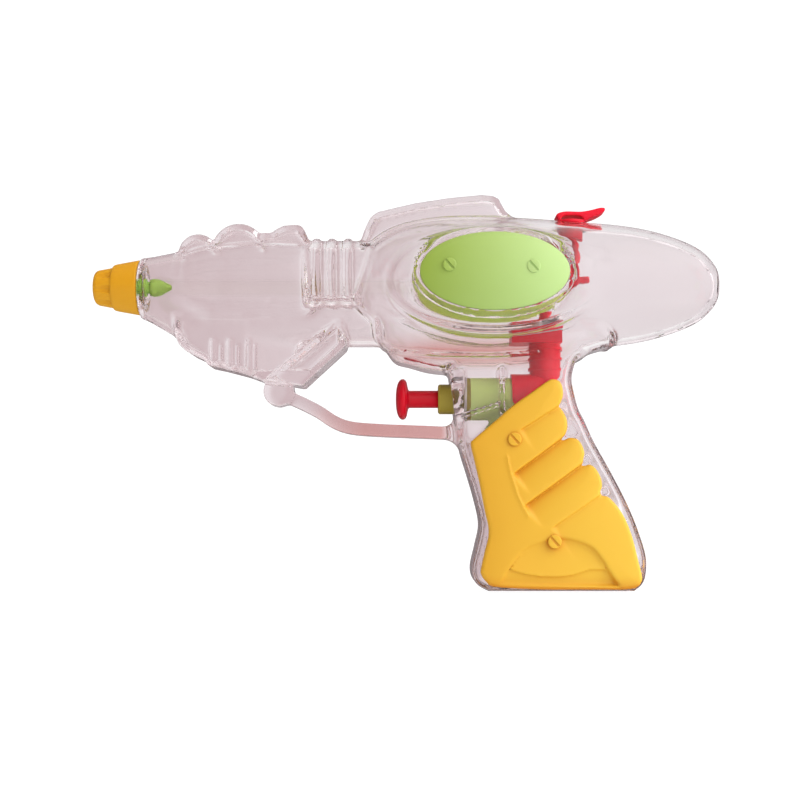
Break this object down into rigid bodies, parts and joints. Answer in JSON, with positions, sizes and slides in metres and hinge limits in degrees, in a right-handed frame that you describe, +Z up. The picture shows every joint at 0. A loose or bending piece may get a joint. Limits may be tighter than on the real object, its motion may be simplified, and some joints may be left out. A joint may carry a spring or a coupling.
{
  "type": "water squirter",
  "caption": "Clear plastic toy water squirter with a spring-returned red trigger pump, green oval and yellow grip panels, an orange nozzle cap and a red filler plug.",
  "frame": {"origin": "middle of the flat base of the grip, on the parting plane", "axes": "+Z up, -X towards the muzzle, +X towards the tail, -Y out of the side that the picture shows"},
  "size_m": [0.2105, 0.0472, 0.1318],
  "materials": {
    "clear_plastic": "gloss",
    "green_plastic": "gloss",
    "olive_plastic": "gloss",
    "yellow_plastic": "satin",
    "orange_plastic": "satin",
    "red_plastic": "gloss",
    "soft_red": "satin",
    "rubber": "matte",
    "soft_clear": "gloss",
    "steel": "satin"
  },
  "bodies": {
    "body": {"left_shell": "clear_plastic", "right_shell": "clear_plastic", "left_oval_panel": "green_plastic", "right_oval_panel": "green_plastic", "left_grip_panel": "yellow_plastic", "right_grip_panel": "yellow_plastic", "nozzle_cap": "orange_plastic", "nozzle_washer": "rubber", "nozzle_jet": "green_plastic", "delivery_tube": "soft_clear", "return_spring": "steel", "pump_collar": "olive_plastic", "collar_gasket": "rubber", "pump_cylinder": "green_plastic", "valve_block": "red_plastic", "valve_gasket": "soft_clear", "valve_cap": "red_plastic", "inlet_seat": "soft_clear", "suction_tube": "soft_clear"},
    "trigger": {"trigger": "red_plastic", "piston": "green_plastic", "piston_seal": "rubber"},
    "filler_plug": {"filler_plug": "soft_red"},
    "inlet_ball": {"inlet_ball": "steel"},
    "outlet_ball": {"outlet_ball": "steel"}
  },
  "joints": [
    {"name": "trigger_slide", "type": "slide", "parent": "body", "child": "trigger", "axis": [1, 0, 0], "range_m": [0, 0.0095], "stiffness_N_per_m": 300, "springref_m": -0.01, "deforming": ["return_spring"]},
    {"name": "plug_pull", "type": "slide", "parent": "body", "child": "filler_plug", "axis": [0, 0, 1], "range_m": [0, 0.0112]},
    {"name": "inlet_lift", "type": "slide", "parent": "body", "child": "inlet_ball", "axis": [0, 0, 1], "range_m": [0, 0.0014]},
    {"name": "outlet_lift", "type": "slide", "parent": "body", "child": "outlet_ball", "axis": [0, 0, 1], "range_m": [0, 0.0014]}
  ]
}
